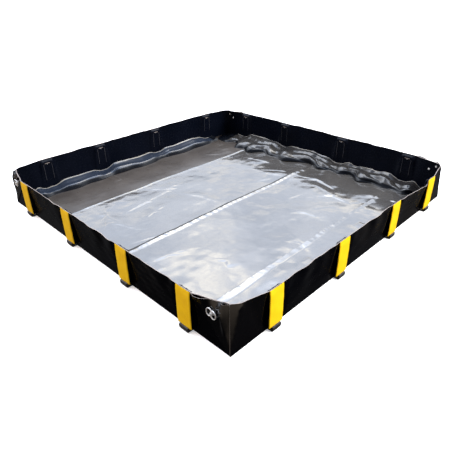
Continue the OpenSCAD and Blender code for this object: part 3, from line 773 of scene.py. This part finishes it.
# ------------------------------------------------------------------ slack folds at the foot of each wall
def fold_roll(k, a0, a1, name, height, reach, seed, crumple=0.0012, ridges=0.0022, ragged=0.15, mat=None, span=None, joint=None, share_at=None, reach_at=None, shade_below=-9.0, shade_above=9.0, foot=0.34, crest=2.0):
    """A roll of slack fabric along the foot of a wall, from the wall over a crest to a tucked foot."""
    lo, hi = span or (a0, a1)
    na = int((hi - lo) / 0.008)
    a = np.linspace(lo, hi, na)
    w1, w2, w3 = wave1(seed, 5, 0.55), wave1(seed + 1, 6, 0.24), wave1(seed + 2, 8, 0.09)
    st = near_station(k, a, 0.02, 0.10)
    end = smooth((a - a0) / 0.16) * smooth((a1 - a) / 0.16)
    hh = (height * (1 + 0.10 * w1(a) + 0.5 * ragged * w2(a)) * (1 - 0.40 * st) + 0.35 * crumple * w3(a)) * (0.15 + 0.85 * end)
    rr = (reach * (1 + 0.07 * w1(a + 3) + ragged * w2(a + 1)) * (1 - 0.12 * st)) * (0.35 + 0.65 * end)
    if share_at is not None:
        hh = hh * np.interp(a, *share_at)
    if reach_at is not None:
        rr = rr * np.interp(a, *reach_at)
    # shares of reach and height: a slope that steepens to a tucked foot
    sec = np.array([(0.0, 1.0), (0.06, 0.935), (0.12, 0.875), (0.2, 0.83), (0.35, 0.755), (0.5, 0.685), (0.62, 0.625), (0.70, 0.575), (0.78, 0.50), (0.85, 0.40), (0.91, 0.25), (0.955, 0.11), (0.985, 0.03), (1.0, 0.0), (0.97, 0.0), (0.93, 0.0)])
    cum = np.concatenate([[0], np.cumsum(np.hypot(np.diff(sec[:, 0]), np.diff(sec[:, 1]) * 0.6))])
    ff = np.linspace(0, 1, 44)
    sx, sz = np.interp(ff, cum / cum[-1], sec[:, 0]), np.interp(ff, cum / cum[-1], sec[:, 1])
    for _ in range(3):
        sx[1:-1] = (sx[:-2] + 2 * sx[1:-1] + sx[2:]) / 4
        sz[1:-1] = (sz[:-2] + 2 * sz[1:-1] + sz[2:]) / 4
    slope = np.gradient(sz * height) / np.minimum(-1e-9, -np.abs(np.gradient(sx * reach)))
    phi = np.clip(np.arctan(np.abs(slope)), 0, math.pi / 2)
    wr, wf, wl = waves(seed + 5, 8, 0.23, 0.4), waves(seed + 6, 12, 0.07, 0.5), waves(seed + 7, 6, 0.9, 0.4)
    A = a[:, None] + 0 * ff[None, :]
    arc = ff[None, :] * reach
    crump = (np.sin(np.pi * np.clip(ff * 1.05, 0, 1)) ** 0.8)[None, :]
    shape_ = (0.3 + 0.7 * end)[:, None]
    # long soft ridges run with the wall; the crumple crosses them at a slant
    long_ = ridges * np.sin(2 * np.pi * (arc / 0.055 + 0.22 * wl(A, arc))) * crump
    slant = crumple * (2.0 * np.abs(wr(A * 0.42 + 0.8 * arc, arc * 1.3)) - 0.9 + 0.14 * wf(A * 0.4 - 0.6 * arc, arc))
    dz = (long_ + slant * crump) * shape_
    O = -0.0024 - rr[:, None] * sx[None, :]
    Z = 0.0048 + hh[:, None] * sz[None, :]
    nx, nz = np.sin(phi)[None, :], np.maximum(np.cos(phi), 0)[None, :]
    Z = np.maximum(Z + dz * nz, 0.0042)
    O = np.minimum(O - dz * nx * (ff[None, :] > 0.02), -0.0024)
    line = place(k, A, O, Z)
    ga, gv = np.gradient(line, axis=0), np.gradient(line, axis=1)
    nrm = np.cross(ga, gv)
    nrm /= np.maximum(np.linalg.norm(nrm, axis=-1, keepdims=True), 1e-9)
    if nrm[..., 2].mean() < 0:
        nrm = -nrm
    low = line - nrm * 0.0012
    low[..., 2] = np.maximum(low[..., 2], 0.0026)
    v, f, m = sheet_mesh(line, low)
    nf = (line.shape[0] - 1) * (line.shape[1] - 1)
    share = np.tile((sz[:-1] + sz[1:]) / 2, line.shape[0] - 1)
    tucked = np.tile((ff[:-1] > 0.5), line.shape[0] - 1) & (share < foot)
    where = np.repeat((a[:-1] + a[1:]) / 2, line.shape[1] - 1)
    # rows above the given share of the height are painted pale: a painted highlight along the crest
    m[:nf][(share > crest)] = 2
    # faces of the tucked foot, and the stretches past the given ends, are painted near-black: painted shade under the
    # roll and in the corner
    m[:nf][tucked | (where < shade_below) | (where > shade_above)] = 1
    ob = new_object(name, v, f, [mat or M_PUFF_SKY_TINT, M_FOOT_SHADE, M_CREST_HIGHLIGHT], m)
    fix_normals(ob); crease_edges(ob, 60)
    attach(ob, "base")
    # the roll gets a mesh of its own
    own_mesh(ob)
    return ob


# the stretch in the left corner is pressed down by the left wall, the rest by the back wall
# the back roll's stretch nearest the right wall is painted near-black: painted shade in the back corner
BACK_ROLL = dict(share_at=([-1.21, -1.05, -0.93, -0.78, 0.93, 0.965, 0.995, 1.04], [0.50, 0.55, 0.62, 1.0, 1.0, 0.80, 0.80, 1.0]), shade_below=-0.93, foot=0.50, crest=0.93)
fold_roll(BACK, -1.28, 1.17, "back_fold_roll", 0.068, 0.118, 200, 0.0009, 0.0013, 0.04, span=(-0.985, 0.985), **BACK_ROLL)
fold_roll(BACK, -1.28, 1.17, "back_fold_roll_end", 0.068, 0.118, 200, 0.0009, 0.0013, 0.04, span=(0.985, 1.17), joint="left_wall_fold", **BACK_ROLL)
# the right roll's stretch nearest the back wall is painted near-black: painted shade in the back corner
fold_roll(RIGHT, -1.12, 1.28, "right_fold_roll", 0.074, 0.160, 300, 0.0085, 0.0035, 0.22, mat=M_CRUMPLE, span=(-1.12, 1.20),
          share_at=([0.85, 1.0, 1.1, 1.2], [1.0, 0.62, 0.42, 0.35]), reach_at=([-0.1, 0.35, 0.9, 1.2], [1.0, 1.5, 1.55, 1.3]), shade_above=1.02, foot=0.42, crest=0.955)
fold_roll(FRONT, -0.94, 0.94, "front_fold_roll", 0.034, 0.085, 400, 0.003)
fold_roll(LEFT, -1.10, 1.10, "left_fold_roll", 0.038, 0.095, 500, 0.003)

# ------------------------------------------------------------------ stage, light and camera
def stage():
    n = 64
    R = 70.0
    v = [(R * math.cos(2 * math.pi * i / n), R * math.sin(2 * math.pi * i / n), -0.0002) for i in range(n)]
    m, nt, b = material("stage_floor")
    b.inputs["Base Color"].default_value = (0.93, 0.93, 0.93, 1)
    b.inputs["Roughness"].default_value = 0.9
    b.inputs["Specular IOR Level"].default_value = 0.1
    b.inputs["Emission Color"].default_value = (1, 1, 1, 1)
    b.inputs["Emission Strength"].default_value = 0.35
    ob = new_object("stage_floor", v, [list(range(n))], [m], smooth_shade=False)
    ob.visible_glossy = False
    ob.visible_diffuse = False
    # a plain white backdrop, seen only by the camera
    me = bpy.data.meshes.new("backdrop")
    vv, ff = [], []
    nn, mm = 48, 12
    for j in range(mm + 1):
        e = math.radians(-6 + 96 * j / mm)
        for i in range(nn):
            th = 2 * math.pi * i / nn
            vv.append((68 * math.cos(e) * math.cos(th), 68 * math.cos(e) * math.sin(th), 68 * math.sin(e)))
    for j in range(mm):
        for i in range(nn):
            i2 = (i + 1) % nn
            ff.append((j * nn + i, j * nn + i2, (j + 1) * nn + i2, (j + 1) * nn + i))
    mb = bpy.data.materials.new("backdrop")
    mb.use_nodes = True
    nt = mb.node_tree
    nt.nodes.clear()
    em, out = nt.nodes.new("ShaderNodeEmission"), nt.nodes.new("ShaderNodeOutputMaterial")
    em.inputs["Color"].default_value = (1, 1, 1, 1)
    em.inputs["Strength"].default_value = 1.0
    nt.links.new(em.outputs[0], out.inputs["Surface"])
    bd = new_object("backdrop", vv, ff, [mb])
    bd.visible_glossy = bd.visible_diffuse = bd.visible_shadow = bd.visible_transmission = bd.visible_volume_scatter = False


stage()


def world():
    w = bpy.data.worlds.new("studio")
    bpy.context.scene.world = w
    w.use_nodes = True
    nt = w.node_tree
    far, out = nt.nodes["Background"], nt.nodes["World Output"]
    near, mix = nt.nodes.new("ShaderNodeBackground"), nt.nodes.new("ShaderNodeMixShader")
    tc = nt.nodes.new("ShaderNodeTexCoord")
    sep = nt.nodes.new("ShaderNodeSeparateXYZ")
    nt.links.new(tc.outputs["Generated"], sep.inputs[0])
    mp = nt.nodes.new("ShaderNodeMapping")
    mp.inputs["Scale"].default_value = (1, 1, 2.2)
    nt.links.new(tc.outputs["Generated"], mp.inputs["Vector"])
    cl = nt.nodes.new("ShaderNodeTexNoise")
    cl.inputs["Scale"].default_value = 4.6
    cl.inputs["Detail"].default_value = 5
    cl.inputs["Roughness"].default_value = 0.55
    cl.inputs["Distortion"].default_value = 0.4
    nt.links.new(mp.outputs["Vector"], cl.inputs["Vector"])
    clouds = ramp(nt, cl.outputs["Fac"], [(0.38, (0.38, 0.43, 0.52)), (0.54, (0.505, 0.55, 0.635)), (0.61, (0.84, 0.815, 0.77)), (0.70, (0.92, 0.895, 0.85))])
    elev = ramp(nt, sep.outputs["Z"], [(0.0, (0.012, 0.011, 0.010)), (0.03, (0.022, 0.020, 0.018)), (0.17, (0.036, 0.032, 0.028)), (0.25, (0.27, 0.27, 0.27)), (0.34, (0.34, 0.34, 0.34)), (0.5, (0.47, 0.47, 0.47)), (0.655, (0.60, 0.60, 0.60)), (0.75, (1, 1, 1)), (0.95, (1, 1, 1)), (0.985, (0.10, 0.125, 0.17))])
    mul = nt.nodes.new("ShaderNodeMixRGB")
    mul.blend_type = "MULTIPLY"
    mul.inputs["Fac"].default_value = 1
    nt.links.new(clouds.outputs["Color"], mul.inputs["Color1"])
    nt.links.new(elev.outputs["Color"], mul.inputs["Color2"])
    nt.links.new(mul.outputs["Color"], far.inputs["Color"])
    far.inputs["Strength"].default_value = 11.0
    zz = remap(nt, sep.outputs["Z"], 0, 1, -0.5, 1.0)
    soft = ramp(nt, zz.outputs["Result"], [(0.0, (0.008, 0.008, 0.009)), (0.035, (0.05, 0.042, 0.034)), (0.10, (0.46, 0.38, 0.30)), (0.33, (0.50, 0.42, 0.34)), (0.50, (0.50, 0.52, 0.57)), (1.0, (0.50, 0.56, 0.70))])
    nt.links.new(soft.outputs["Color"], near.inputs["Color"])
    # the sky is brightest on the far side of the object
    dot = nt.nodes.new("ShaderNodeVectorMath")
    dot.operation = "DOT_PRODUCT"
    dot.inputs[1].default_value = (0.7071, 0.7071, 0.25)
    nt.links.new(tc.outputs["Generated"], dot.inputs[0])
    st = remap(nt, dot.outputs["Value"], 0, 1, 0.0, 0.3)
    st.interpolation_type = "SMOOTHSTEP"
    nt.links.new(st.outputs["Result"], mix.inputs["Fac"])
    nt.links.new(near.outputs[0], mix.inputs[1])
    nt.links.new(far.outputs[0], mix.inputs[2])
    nt.links.new(mix.outputs[0], out.inputs["Surface"])


world()


def area(name, loc, target, size, power, color=(1, 1, 1)):
    l = bpy.data.lights.new(name, "AREA")
    l.shape = "DISK"
    l.size = size
    l.energy = power
    l.color = color
    o = bpy.data.objects.new(name, l)
    o.location = loc
    o.rotation_euler = (Vector(target) - Vector(loc)).to_track_quat("-Z", "Y").to_euler()
    bpy.context.scene.collection.objects.link(o)
    return o


for lamp in (area("key", (2.5, -6.5, 5.0), (0, -0.6, 0.1), 3.5, 1000, (1, 0.96, 0.88)), area("fill", (-6.5, 1.5, 4.5), (-0.6, 0, 0.1), 3.5, 190, (1, 0.72, 0.45))):
    lamp.visible_glossy = False

cam_data = bpy.data.cameras.new("camera")
cam = bpy.data.objects.new("camera", cam_data)
bpy.context.scene.collection.objects.link(cam)
bpy.context.scene.camera = cam
cam_data.sensor_width = 36
cam_data.lens = 441.0 / 450 * 36
cam_data.clip_start, cam_data.clip_end = 0.05, 500
az, el, roll = math.radians(45.2), math.radians(29.53), math.radians(-0.84)
fwd = Vector((math.cos(el) * math.cos(az), math.cos(el) * math.sin(az), -math.sin(el)))
right = Vector((math.sin(az), -math.cos(az), 0))
up = right.cross(fwd)
r = math.cos(roll) * right + math.sin(roll) * up
u = -math.sin(roll) * right + math.cos(roll) * up
rot = Matrix((r, u, -fwd)).transposed().to_4x4()
cam.matrix_world = Matrix.Translation(Vector((-S - 3.60 * 0.3048, -S - 3.54 * 0.3048, 5.27 * 0.3048))) @ rot

bpy.context.scene.view_settings.view_transform = "Standard"
bpy.context.scene.view_settings.look = "None"
